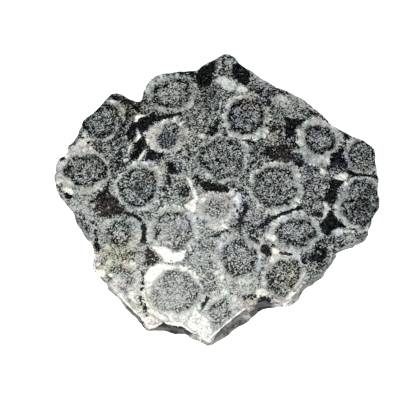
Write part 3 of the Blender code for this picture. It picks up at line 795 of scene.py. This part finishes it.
class Tree:
    """A node tree, written as expressions on Wires."""

    def __init__(self, owner):
        owner.use_nodes = True
        self.nodes = owner.node_tree.nodes
        self.links = owner.node_tree.links
        self.nodes.clear()

    def node(self, kind, settings=None, sockets=None, output=0):
        """Adds a node with its settings first, then its sockets' values or links, and gives an output."""
        made = self.nodes.new(kind)
        for name, value in (settings or {}).items():
            setattr(made, name, value)
        for name, value in (sockets or {}).items():
            if isinstance(value, Wire):
                self.links.new(value.socket, made.inputs[name])
            else:
                made.inputs[name].default_value = value
        return Wire(self, made.outputs[output]) if made.outputs else made

    def spread(self, value):
        """A number as a vector of three like numbers; a vector stays as it is."""
        if isinstance(value, Wire) and not value.wide:
            return self.node("ShaderNodeCombineXYZ", {}, {0: value, 1: value, 2: value})
        if isinstance(value, (int, float)):
            return (value,) * 3
        return value

    def field(self, name, output="Fac"):
        """A value that the mesh holds at its points, or a vector from the output of that name."""
        return self.node("ShaderNodeAttribute", {"attribute_name": name}, {}, output)

    def noise(self, place, width, detail=2.0):
        """Soft swells of that width, from 0 to 1."""
        sockets = {"Vector": place, "Scale": 1.0 / width, "Detail": detail}
        return self.node("ShaderNodeTexNoise", {}, sockets)

    def sway(self, place, scale, detail):
        """Three noises at once, each from 0 to 1, with so many swells to a millimetre."""
        sockets = {"Vector": place, "Scale": scale, "Detail": detail}
        return self.node("ShaderNodeTexNoise", {}, sockets, "Color")

    def cells(self, place, width):
        """Three random numbers for each grain of that width."""
        return self.node("ShaderNodeTexVoronoi", {}, {"Vector": place, "Scale": 1.0 / width}, "Color")

    def blend(self, share, low, high):
        """Low where the share is 0 and high where it is 1, for colours.

        The node has sockets for numbers, vectors and colours: 0 is the share, 6 and 7 are the two
        colours, and its output 2 is a colour.
        """
        return self.node("ShaderNodeMix", {"data_type": "RGBA"}, {0: share, 6: low, 7: high}, 2)


def opaque(colour):
    """The colour with full alpha, as a colour socket takes it."""
    return (*colour, 1.0)


def curve_point(before, start, end, after, share):
    """A point between start and end on a smooth curve through all four; numbers and arrays both work."""
    return 0.5 * (
        2.0 * start
        + (end - before) * share
        + (2.0 * before - 5.0 * start + 4.0 * end - after) * share ** 2
        + (3.0 * start - before - 3.0 * end + after) * share ** 3
    )


def smooth_outline(corners, steps=4):
    """The closed curve through the corners, as an array of points."""
    corners = np.array(corners, float)
    around = [np.roll(corners, shift, axis=0) for shift in (1, 0, -1, -2)]
    shares = np.arange(steps)[None, :, None] / steps
    before, start, end, after = (points[:, None, :] for points in around)
    return curve_point(before, start, end, after, shares).reshape(-1, 2)


def smooth_line(points, steps=4):
    """The open curve through the points, as an array of points."""
    points = np.array(points, float)
    padded = np.vstack([2 * points[0] - points[1], points, 2 * points[-1] - points[-2]])
    curve = [
        curve_point(*padded[index:index + 4], step / steps)
        for index in range(len(points) - 1)
        for step in range(steps)
    ]
    return np.array(curve + [points[-1]])


def segment_distance(places, start, end):
    """Distance of each place to the segment from start to end."""
    along = end - start
    share = np.clip((places - start) @ along / (along @ along), 0.0, 1.0)
    return np.linalg.norm(places - start - share[:, None] * along, axis=1)


def near(places, outline, reach):
    """Which places lie within that reach of the outline's box."""
    return ((places > outline.min(0) - reach) & (places < outline.max(0) + reach)).all(1)


def depth_in_outline(places, outline):
    """How deep each place lies inside a closed outline; outside it is negative."""
    nearest = np.full(len(places), np.inf)
    inside = np.zeros(len(places), bool)
    x, y = places.T
    for start, end in zip(outline, np.roll(outline, -1, axis=0)):
        nearest = np.minimum(nearest, segment_distance(places, start, end))
        crosses = (start[1] > y) != (end[1] > y)
        if crosses.any():
            meets = start[0] + (y - start[1]) * (end[0] - start[0]) / (end[1] - start[1])
            inside ^= crosses & (x < meets)
    return np.where(inside, nearest, -nearest)


def reach_towards(reaches, angle):
    """The reach at each angle, on a smooth closed curve through the eight given ones."""
    reaches = np.array(reaches)
    turn = angle / (2.0 * np.pi / len(reaches))
    first = np.floor(turn).astype(int)
    around = [reaches[(first + shift) % len(reaches)] for shift in (-1, 0, 1, 2)]
    return curve_point(*around, turn - first)


def ball_scale(depth, height, radius):
    """How a ball's cut grows from the polished face to another height; negative past the ball."""
    left = 1.0 + (depth ** 2 - (height - TOP + depth) ** 2) / radius ** 2
    return np.sign(left) * np.sqrt(np.abs(left))


def drifted(points):
    """The points as the markings meet them: a slight waver, more of it deeper in the stone."""
    noise.seed_set(NOISE_SEED)
    below = 1.0 - points[:, 2] / TOP
    waver = np.array([noise.noise_vector(Vector(point) / WAVER_WIDTH + NOISE_SHIFT)[:] for point in points])
    drift = np.array([noise.noise_vector(Vector(point) / DRIFT_WIDTH - NOISE_SHIFT)[:] for point in points])
    return points + WAVER * waver + DEEP_DRIFT * below[:, None] * drift


def softened(depths, width):
    """1 inside a mark and 0 outside it, from the depth in it, with a soft edge of that width."""
    share = np.clip(depths / width + 0.5, 0.0, 1.0)
    return share * share * (3.0 - 2.0 * share)


def closeness(places, x, y, reach):
    """1 at the point (x, y), falling off softly over that reach."""
    return np.exp(-((places[:, 0] - x) ** 2 + (places[:, 1] - y) ** 2) / reach ** 2)


def blended(places, zones, far_tone, far_weight):
    """The tones of the zones, each weighed by its closeness, and the far tone where none is close."""
    total = np.full(len(places), far_weight)
    field = total * far_tone
    for x, y, reach, tone in zones:
        weight = closeness(places, x, y, reach)
        total += weight
        field += weight * tone
    return field / total


def strongest(places, patches):
    """The strongest of the soft round patches at each place."""
    return np.max([strength * closeness(places, x, y, reach) for x, y, reach, strength in patches], axis=0)


def marks_field(places, patches, seams, width):
    """The strongest mark at each place, from 0 to 1, with soft edges of that width."""
    field = np.zeros(len(places))
    for strength, corners in patches.values():
        outline = smooth_outline(corners)
        close = near(places, outline, width)
        depth = depth_in_outline(places[close], outline)
        field[close] = np.maximum(field[close], strength * softened(depth, width))
    for half_width, strength, points in seams.values():
        line = smooth_line(points)
        close = near(places, line, half_width + width)
        distance = np.min([segment_distance(places[close], *ends) for ends in zip(line, line[1:])], axis=0)
        field[close] = np.maximum(field[close], strength * softened(half_width - distance, width))
    return field


def rim_fields(points):
    """The tone of the broken rim, with a painted shadow just under the lip, and how strong the lip's
    painted highlight is.
    """
    places = points[:, :2]
    height = points[:, 2]
    below = TOP - height
    tone = blended(places, [(x, y, RIM_REACH, tone) for x, y, tone in RIM_ZONES], RIM_TONE, RIM_WEIGHT)
    lip_highlight = marks_field(places, {}, LIP_HIGHLIGHTS, LIP_HIGHLIGHT_WIDTH)
    # Painted shadow: the rim is darkened a little just under the lip's painted highlight.
    under_lip_shadow = softened(below - PAINTED_SHADOW_FROM, PAINTED_LIGHT_SOFTNESS) * softened(PAINTED_SHADOW_TO - below, RIM_SOFTNESS)
    foot = marks_field(places, {}, FEET, RIM_SOFTNESS) * softened(FOOT_HEIGHT - height, RIM_SOFTNESS)
    tone += FOOT_LIFT * foot - UNDER_LIP_SHADOW * lip_highlight * under_lip_shadow
    return {"rim": tone, "lip_highlight": lip_highlight * softened(LIP_HIGHLIGHT_DEPTH - below, PAINTED_LIGHT_SOFTNESS)}


def orb_fields(points):
    """For each point, how deep it lies in an orb and in a core, and the tones of the orb there."""
    orbs = list(ORBS.values())
    shells, cores, offsets = [], [], []
    for orb in orbs:
        offset = points - np.array([orb.x, orb.y, TOP - orb.depth])
        angle = np.arctan2(offset[:, 1], offset[:, 0]) % (2.0 * np.pi)
        distance = np.hypot(offset[:, 0], offset[:, 1])
        for reaches, depths in ((orb.shell, shells), (orb.core, cores)):
            scale = ball_scale(orb.depth, points[:, 2], np.mean(reaches))
            depths.append(reach_towards(reaches, angle) * scale - distance)
        offsets.append(offset)
    shells = np.array(shells)
    pull = np.exp((shells - shells.max(0)) / ORB_SOFTNESS)
    pull /= pull.sum(0)
    names = ("pale", "grey", "heart", "ring", "cream")
    fields = {name: np.array([getattr(orb, name) for orb in orbs]) @ pull for name in names}
    fields["shell"] = shells.max(0)
    fields["core"] = np.max(cores, axis=0)
    inward = fields["core"] / np.mean([orb.core for orb in orbs])
    in_heart = np.clip((inward - HEART_START) / (HEART_FULL - HEART_START), 0.0, 1.0)
    fields["grey"] += (fields.pop("heart") - fields["grey"]) * in_heart
    fields["ray"] = np.array(offsets)[shells.argmax(0), np.arange(len(points))]
    return fields


def stone_fields(points):
    """Every value of the markings that the material reads from the mesh."""
    points = drifted(points)
    places = points[:, :2]
    fields = {**orb_fields(points), **rim_fields(points)}
    fields["dark"] = marks_field(places, DARK_PATCHES, DARK_SEAMS, DARK_SOFTNESS)
    fields["gloom"] = marks_field(places, DARK_PATCHES, {}, GLOOM_SOFTNESS)
    fields["white"] = marks_field(places, WHITE_PATCHES, WHITE_VEINS, WHITE_SOFTNESS)
    fields["rock"] = blended(places, ROCK_ZONES.values(), ROCK_TONE, ROCK_WEIGHT)
    fields["shade"] = sum(change * closeness(places, x, y, reach) for x, y, reach, change in SHADES)
    creamy_shell = fields.pop("cream") * softened(fields["shell"], CREAM_SOFTNESS)
    for name, patches in TINTS.items():
        fields[name] = strongest(places, patches)
    fields["cream"] = np.maximum(fields["cream"], creamy_shell)
    return fields


def break_height(point, depth):
    """How far a point of the rim moves out for the grain of the break, and in for a chip."""
    swell = sum(strength * noise.noise(point / width + NOISE_SHIFT) for strength, width in BREAK_GRAINS)
    near_edge = max(0.0, 1.0 - (TOP - point.z) / CHIP_REACH)
    chip = near_edge ** 2 * max(0.0, noise.noise(point / CHIP_WIDTH - NOISE_SHIFT) - CHIP_RARITY)
    return depth * (swell + BREAK_LIFT) - CHIP_DEPTH * chip


def roughen(shape, depth):
    """Gives the rim the grain of a fracture inside the solid's box. The two open edges stay level."""
    for vert in shape.verts:
        way = vert.normal.copy()
        if vert.is_boundary:
            way.z = 0.0
            way.normalize()
        vert.co += way * break_height(vert.co, depth)
    for vert in shape.verts:
        vert.co = [min(max(value, low), high) for value, low, high in zip(vert.co, LOW, HIGH)]


def smooth_rim(shape):
    """Rounds off the solid's facets, with the open edges kept in their planes."""
    inner = [vert for vert in shape.verts if not vert.is_boundary]
    edges = [vert for vert in shape.verts if vert.is_boundary]
    for _ in range(RIM_SMOOTHING):
        bmesh.ops.smooth_vert(
            shape, verts=inner, factor=0.5, use_axis_x=True, use_axis_y=True, use_axis_z=True
        )
        middles = {}
        for vert in edges:
            first, second = (edge.other_vert(vert).co for edge in vert.link_edges if edge.is_boundary)
            middles[vert] = (vert.co + (first + second) * 0.5) * 0.5
        for vert, middle in middles.items():
            vert.co = middle


def open_rim(depth):
    """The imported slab's rim in millimetres, cut finer and roughened, without its two sawn faces."""
    shape = bmesh.new()
    shape.from_mesh(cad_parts[NODE].data)
    shape.transform(Matrix.Scale(1.0 / MM, 4))
    bmesh.ops.remove_doubles(shape, verts=shape.verts, dist=WELD)
    sawn = []
    for face in shape.faces:
        heights = [vert.co.z for vert in face.verts]
        if max(heights) < LEVEL or min(heights) > TOP - LEVEL:
            sawn.append(face)
    bmesh.ops.delete(shape, geom=sawn, context="FACES")
    bmesh.ops.subdivide_edges(shape, edges=shape.edges, cuts=RIM_CUTS, use_grid_fill=True)
    smooth_rim(shape)
    shape.normal_update()
    roughen(shape, depth)
    shape.verts.index_update()
    return shape


def edge_loop(shape, height):
    """The open edge at that height as vertices in order, anticlockwise from above."""
    start = next(vert for vert in shape.verts if vert.is_boundary and abs(vert.co.z - height) < LEVEL)
    loop, last = [start], None
    while True:
        here = loop[-1]
        beside = [edge.other_vert(here) for edge in here.link_edges if edge.is_boundary]
        following = beside[0] if beside[0] is not last else beside[1]
        if following is start:
            break
        last = here
        loop.append(following)
    area = sum(a.co.x * b.co.y - b.co.x * a.co.y for a, b in zip(loop, loop[1:] + loop[:1]))
    return loop if area > 0.0 else loop[::-1]


def flat_points(loop):
    """The vertices of a loop as an array of (x, y) points."""
    return np.array([vert.co.xy[:] for vert in loop])


def edge_finder(outline):
    """A search tree that finds the nearest point of an outline."""
    finder = KDTree(len(outline))
    for number, (x, y) in enumerate(outline):
        finder.insert((x, y, 0.0), number)
    finder.balance()
    return finder


def points_inside(outline, spacing):
    """A staggered grid of points inside an outline, clear of its edge."""
    rows = np.arange(outline[:, 1].min(), outline[:, 1].max(), spacing * sin(radians(60.0)))
    starts, ends = outline, np.roll(outline, -1, axis=0)
    found = []
    for number, y in enumerate(rows):
        stagger = 0.5 * (number % 2)
        crossing = (starts[:, 1] > y) != (ends[:, 1] > y)
        low, high = starts[crossing], ends[crossing]
        meets = np.sort(low[:, 0] + (y - low[:, 1]) * (high[:, 0] - low[:, 0]) / (high[:, 1] - low[:, 1]))
        for left, right in zip(meets[::2], meets[1::2]):
            first = np.ceil(left / spacing + stagger) - stagger
            found += [(x, y) for x in np.arange(first * spacing, right, spacing)]
    finder = edge_finder(outline)
    clear = EDGE_GAP * min(spacing, 1.0)
    return [(x, y) for x, y in found if finder.find((x, y, 0.0))[2] > clear]


def closed_mesh(shape, settings):
    """Vertices and triangles of the rim and of the two sawn faces, and how many triangles each has."""
    points = [vert.co.to_tuple() for vert in shape.verts]
    faces = [[vert.index for vert in face.verts] for face in shape.faces]
    counts = [len(faces)]
    for height, spacing in ((TOP, settings.face_spacing / MM), (0.0, settings.back_spacing / MM)):
        loop = edge_loop(shape, height)
        outline = flat_points(loop)
        inner = points_inside(outline, spacing)
        numbers = [vert.index for vert in loop] + list(range(len(points), len(points) + len(inner)))
        sides = [(index, (index + 1) % len(loop)) for index in range(len(loop))]
        flat = [Vector(place) for place in [*map(tuple, outline), *inner]]
        result = delaunay_2d_cdt(flat, sides, [], INSIDE_ONLY, TRIANGLE_TOLERANCE)
        triangles, sources = result[2:4]
        order = [numbers[source[0]] for source in sources]
        turn = 1 if height > 0.0 else -1
        faces += [[order[corner] for corner in triangle[::turn]] for triangle in triangles]
        points += [(x, y, height) for x, y in inner]
        counts.append(len(triangles))
    return np.array(points), faces, counts


def rim_lengths(loop, points):
    """How far round the rim each point lies, from the nearest place on its upper edge, and its girth."""
    edge = flat_points(loop)
    steps = np.linalg.norm(np.roll(edge, -1, axis=0) - edge, axis=1)
    walked = np.concatenate([[0.0], np.cumsum(steps)])
    finder = edge_finder(edge)
    lengths = []
    for x, y, _ in points:
        nearest = finder.find((x, y, 0.0))[1]
        ahead = edge[(nearest + 1) % len(edge)] - edge[nearest - 1]
        offset = np.dot(np.array([x, y]) - edge[nearest], ahead / np.linalg.norm(ahead))
        lengths.append(walked[nearest] + np.clip(offset, -EDGE_SLIP, EDGE_SLIP))
    return np.array(lengths), walked[-1]


def rim_sheet(points, corners, loop):
    """The rim's corners on the sheet: unrolled in rows, each triangle whole in the row of its middle."""
    lengths, girth = rim_lengths(loop, points[:corners.max() + 1])
    walked = lengths[corners].reshape(-1, 3)
    first = walked[:, :1]
    walked = first + (walked - first + girth / 2.0) % girth - girth / 2.0
    middle = walked.mean(1, keepdims=True)
    row_length = girth / RIM_ROWS
    row = np.minimum(np.floor(middle % girth / row_length), RIM_ROWS - 1)
    walked += middle % girth - middle
    rows_start = HIGH.y - LOW.y + 2.0 * ISLAND_GAP
    x = walked - row * row_length + ISLAND_GAP
    y = rows_start + row * ROW_HEIGHT + points[corners, 2].reshape(-1, 3)
    return np.column_stack([x.ravel(), y.ravel()])


def sheet_places(points, corners, counts, loop):
    """Where each corner of each triangle lies on the flat sheet, from 0 to 1."""
    rim, upper, lower = np.split(corners, np.cumsum(counts)[:2] * 3)
    beside = (HIGH.x - LOW.x + 2.0 * ISLAND_GAP, ISLAND_GAP)
    islands = [
        rim_sheet(points, rim, loop),
        points[upper, :2] - LOW.xy + ISLAND_GAP,
        (points[lower, :2] - LOW.xy) * LOWER_FACE_SCALE + beside,
    ]
    return np.vstack(islands) / SHEET


def add_values(mesh, name, values):
    """Stores a value or a vector for each of the mesh's points."""
    kind, word = ("FLOAT_VECTOR", "vector") if values.ndim == 2 else ("FLOAT", "value")
    mesh.attributes.new(name, kind, "POINT").data.foreach_set(word, values.astype(np.float32).ravel())


def slab_mesh(settings):
    """The whole stone as one closed mesh in metres, with its map and the values of its markings."""
    shape = open_rim(settings.fracture / MM)
    points, faces, counts = closed_mesh(shape, settings)
    corners = np.array(faces).ravel()
    places = sheet_places(points, corners, counts, edge_loop(shape, TOP))
    on_rim = np.arange(len(points)) < len(shape.verts)
    shape.free()
    mesh = bpy.data.meshes.new("diorite slab")
    mesh.from_pydata(points * MM, [], faces)
    mesh.uv_layers.new(name="OFBake").data.foreach_set("uv", places.astype(np.float32).ravel())
    polished = points[:, 2] > TOP - LEVEL
    sawn = polished | (points[:, 2] < LEVEL)
    fields = {**stone_fields(points), "polish": polished, "broken": on_rim & ~sawn}
    for name, values in fields.items():
        add_values(mesh, name, values)
    mesh.shade_smooth()
    mesh.set_sharp_from_angle(angle=SHARP_ANGLE)
    return mesh


# The noises that the parts of the stone share. Coarse and fine hold three random numbers for each
# grain, ragged frays the edges of the orbs, and all but coarse and fine lie round nought.
Noises = namedtuple("Noises", "coarse fine grain texture mottle cloud cluster streak ragged")


def stone_noises(tree, place, settings):
    """The grains, what gathers them and the fibres along the rays of an orb.

    Place is moved by 40 and by 70 mm for two of them, so that none repeats another.
    """
    bent = place + (tree.sway(place, 0.9, 1.0) - 0.5) * 0.5
    coarse = tree.cells(bent, settings.grain / MM)
    fine = tree.cells(bent, settings.fine_grain / MM)
    grain = fine.part("X") ** 0.5 - 0.695 + (coarse.part("X") - 0.5) * 0.2
    mottle = tree.noise(place, 2.6, 3.0) - 0.5
    cloud = tree.noise(place, 7.0, 1.0) - 0.5
    cluster = tree.noise(place + 40.0, 1.8).step(0.34, 0.62) - 0.5
    lumps = tree.noise(place + 70.0, 3.6, 1.0) - 0.5
    ray = tree.field("ray", "Vector")
    streak = tree.noise(ray.unit() * 9.0 + ray * 0.12, 1.0) - 0.5
    texture = (grain * settings.contrast + cluster * settings.cluster + mottle * 0.25).least(0.32)
    ragged = lumps * 3.2 + mottle * 2.4 + cluster * 0.6 + grain * 0.9 + streak * 2.6
    return Noises(coarse, fine, grain, texture, mottle, cloud, cluster, streak, ragged)


def orb_tone(field, noises, settings):
    """Rock, shells and cores as one tone, with how far a place is in a core, a shell and a dark ring."""
    halo = field("shell").band(-1.3, 1.3)
    rock = field("rock") + noises.mottle * 0.4 + noises.cloud * 0.45 - halo * 0.06
    fibres = noises.streak * settings.fibre * 3.2
    shell = field("pale") + fibres + noises.mottle * 0.7 + noises.cloud * 0.4
    core_depth = field("core") + noises.ragged * 1.1
    ring = core_depth.band(0.6, 1.7)
    core = field("grey") + noises.cloud * 0.35 - ring * field("ring") * 1.1
    in_core = core_depth.step(-2.0, -0.1)
    in_shell = (field("shell") + noises.ragged * 0.95).step(-0.35, 0.4)
    tone = in_core.mixed(in_shell.mixed(rock, shell), core) + field("shade")
    return tone, in_core, in_shell, ring


def grained_tone(field, noises, settings):
    """The tone broken up into grains, with dark specks in the rock and the cores, most in the rings."""
    tone, in_core, in_shell, ring = orb_tone(field, noises, settings)
    bright = (tone - 0.42).most(0.0)
    speckled = in_core.most(1.0 - in_shell * 0.85)
    tone = tone + noises.texture * (0.6 + speckled * 0.4) * (1.0 - bright * 3.0).most(0.3)
    in_ring = in_core * ring * (field("ring") * 2.0 + 0.06)
    gloom = field("gloom") * 0.3 * (1.0 - in_core)
    share = 0.17 + in_ring - noises.cluster * 0.2 + gloom - bright * 0.9
    specks = (share - noises.fine.part("Y")).step(-0.02, 0.02) * speckled
    return specks.mixed(tone, tone * 0.2 + bright * 1.5)


def stone_tone(field, noises, settings):
    """The tone of all the stone, with its minerals, broken rim, painted glints and the painted highlight of
    the lip, and its dark grains.
    """
    coarse, fine, texture, mottle = noises.coarse, noises.fine, noises.texture, noises.mottle
    white = (field("white") + mottle + noises.grain * 0.2).step(0.3, 0.62)
    white_tone = 0.26 + field("white") * 0.7 + texture * 0.25 + mottle * 0.3
    tone = white.mixed(grained_tone(field, noises, settings), white_tone)
    broken_tone = field("rim") * (1.02 + texture * 0.9 + mottle * 1.8)
    tone = field("broken").mixed(tone, broken_tone)
    chance = coarse.part("Z") * 0.25 + fine.part("Z") * 0.5 + mottle * 1.4 + 0.08
    dark = (field("dark") - chance).step(-0.04, 0.06)
    black = 0.04 + fine.part("X") ** 3.0 * 0.22 + field("brown") * coarse.part("X") * 0.25
    tone = dark.mixed(tone, black)
    # Painted glints: a few grains turn pale, standing in for sparkles of light on the stone.
    painted_glint = fine.part("Z").step(0.98, 0.99)
    tone = painted_glint.mixed(tone, tone * 0.5 + 0.42).least(1.0).most(0.02)
    # Painted highlight: the lip of the polished face turns near white, as where its edge catches the light.
    lip_highlight = (field("lip_highlight") + mottle * 0.6).step(0.35, 0.75)
    return lip_highlight.mixed(tone, 0.92), dark


def stone_colour(tree, place, tone, settings):
    """The tone with the tints of its minerals and a faint drift of colour, as the light sent back."""
    whiteness = tone.step(0.45, 0.95)
    colour = tree.blend(whiteness, opaque(settings.dark_tint), opaque(settings.pale_tint))
    shares = {name: tree.field(name) for name in TINTS}
    shares["brown"] = shares["brown"] * (1.0 - whiteness)
    shares["broken"] = tree.field("broken") * 0.8
    for name, share in shares.items():
        colour = tree.blend(share, colour, opaque(getattr(settings, name + "_tint")))
    drift = (tree.sway(place + 90.0, 0.24, 2.0) - 0.5) * (0.3 - whiteness * 0.2)
    return colour * (drift + 1.0) * tone ** TONE_POWER


def stone_material(settings):
    """The stone's colour, the gloss of its polished face and the relief of its broken rim."""
    material = bpy.data.materials.new("orbicular diorite")
    tree = Tree(material)
    place = tree.node("ShaderNodeTexCoord", {}, {}, "Object").scaled(1.0 / MM)
    noises = stone_noises(tree, place, settings)
    mottle, grain = noises.mottle, noises.grain
    tone, dark = stone_tone(tree.field, noises, settings)
    gloss = settings.polish + mottle * 0.04 + dark * 0.03
    roughness = tree.field("polish").mixed(settings.broken + mottle * 0.2, gloss)
    relief = (mottle * 0.25 + grain * 0.12) * tree.field("broken") + grain * 0.004
    sockets = {
        "Base Color": stone_colour(tree, place, tone, settings),
        "Roughness": roughness,
        "Normal": tree.node("ShaderNodeBump", {}, {"Height": relief, "Distance": MM, "Strength": 0.8}),
        "Specular IOR Level": 0.3,
    }
    shader = tree.node("ShaderNodeBsdfPrincipled", {}, sockets)
    tree.node("ShaderNodeOutputMaterial", {}, {"Surface": shader})
    return material


def show(name, data):
    """Makes an object of a mesh, a light or a camera and puts it in the scene."""
    made = bpy.data.objects.new(name, data)
    bpy.context.scene.collection.objects.link(made)
    return made


def aim(thing, target):
    """Turns a light or a camera towards a point."""
    thing.rotation_euler = (Vector(target) - thing.location).to_track_quat("-Z", "Y").to_euler()


def add_floor(settings):
    """A dull pale floor with a glow of its own."""
    reach = settings.floor_size / 2.0
    tone = settings.floor_tone
    mesh = bpy.data.meshes.new("floor")
    corners = [(-reach, -reach, 0.0), (reach, -reach, 0.0), (reach, reach, 0.0), (-reach, reach, 0.0)]
    mesh.from_pydata(corners, [], [(0, 1, 2, 3)])
    material = bpy.data.materials.new("pale floor")
    tree = Tree(material)
    sockets = {
        "Base Color": (tone, tone, tone, 1.0),
        "Roughness": 0.9,
        "Specular IOR Level": 0.0,
        "Emission Color": (1.0, 1.0, 1.0, 1.0),
        "Emission Strength": settings.floor_glow,
    }
    shader = tree.node("ShaderNodeBsdfPrincipled", {}, sockets)
    tree.node("ShaderNodeOutputMaterial", {}, {"Surface": shader})
    mesh.materials.append(material)
    floor = show("floor", mesh)
    floor.location.z = -FLOOR_DROP


def add_light(name, place, size, power):
    """A soft round light that shines on the middle of the floor."""
    light = bpy.data.lights.new(name, "AREA")
    light.shape = "DISK"
    light.size = size
    light.energy = power
    lamp = show(name, light)
    lamp.location = place
    aim(lamp, (0.0, 0.0, 0.0))


def add_room(settings):
    """Pale walls round the table under a dark ceiling."""
    world = bpy.data.worlds.new("room")
    bpy.context.scene.world = world
    tree = Tree(world)
    height = tree.node("ShaderNodeTexCoord", {}, {}, "Generated").part("Z")
    glow = height.step(0.35, 0.75).mixed(settings.wall_tone, settings.ceiling_tone)
    background = tree.node("ShaderNodeBackground", {}, {"Color": (1.0, 1.0, 1.0, 1.0), "Strength": glow})
    tree.node("ShaderNodeOutputWorld", {}, {"Surface": background})


def add_camera(settings):
    """The scene's camera, in front of the slab and above it."""
    camera = bpy.data.cameras.new("camera")
    camera.lens = settings.lens
    view = show("camera", camera)
    back = Vector((0.0, -cos(settings.elevation), sin(settings.elevation)))
    view.location = Vector(settings.focus) + back * settings.distance
    aim(view, settings.focus)
    bpy.context.scene.camera = view


class DIORITE_OT_slab(bpy.types.Operator):
    """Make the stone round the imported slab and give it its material"""

    bl_idname = "diorite.slab"
    bl_label = "Diorite slab"

    def execute(self, context):
        settings = context.scene.diorite_stone
        slab = show("diorite_slab", slab_mesh(settings))
        slab.data.materials.append(stone_material(settings))
        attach(slab, "root")
        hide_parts(NODE)
        return {"FINISHED"}


class DIORITE_OT_stage(bpy.types.Operator):
    """Set up the floor, the lights, the room and the camera"""

    bl_idname = "diorite.stage"
    bl_label = "Studio"

    def execute(self, context):
        settings = context.scene.diorite_stage
        context.scene.view_settings.view_transform = "Standard"
        add_floor(settings)
        add_light("key light", settings.key_place, settings.key_size, settings.key_power)
        add_light("overhead light", settings.lamp_place, settings.lamp_size, settings.lamp_power)
        add_room(settings)
        add_camera(settings)
        return {"FINISHED"}


class DIORITE_PT_looks(bpy.types.Panel):
    """Lists the pieces and their settings"""

    bl_label = "Orbicular diorite"
    bl_space_type = "VIEW_3D"
    bl_region_type = "UI"
    bl_category = "Diorite"

    def draw(self, context):
        for operator, group in (("diorite.slab", "diorite_stone"), ("diorite.stage", "diorite_stage")):
            box = self.layout.box()
            box.operator(operator)
            settings = getattr(context.scene, group)
            for name in type(settings).__annotations__:
                box.prop(settings, name)


CLASSES = (StoneSettings, StageSettings, DIORITE_OT_slab, DIORITE_OT_stage, DIORITE_PT_looks)


def register():
    """Makes the settings, the operators and the panel known."""
    for item in CLASSES:
        bpy.utils.register_class(item)
    bpy.types.Scene.diorite_stone = PointerProperty(type=StoneSettings)
    bpy.types.Scene.diorite_stage = PointerProperty(type=StageSettings)


def unregister():
    """Takes them out again."""
    del bpy.types.Scene.diorite_stage
    del bpy.types.Scene.diorite_stone
    for item in reversed(CLASSES):
        bpy.utils.unregister_class(item)


def main():
    """Makes the stone and its studio."""
    register()
    bpy.ops.diorite.slab()
    bpy.ops.diorite.stage()


if __name__ == "__main__":
    main()
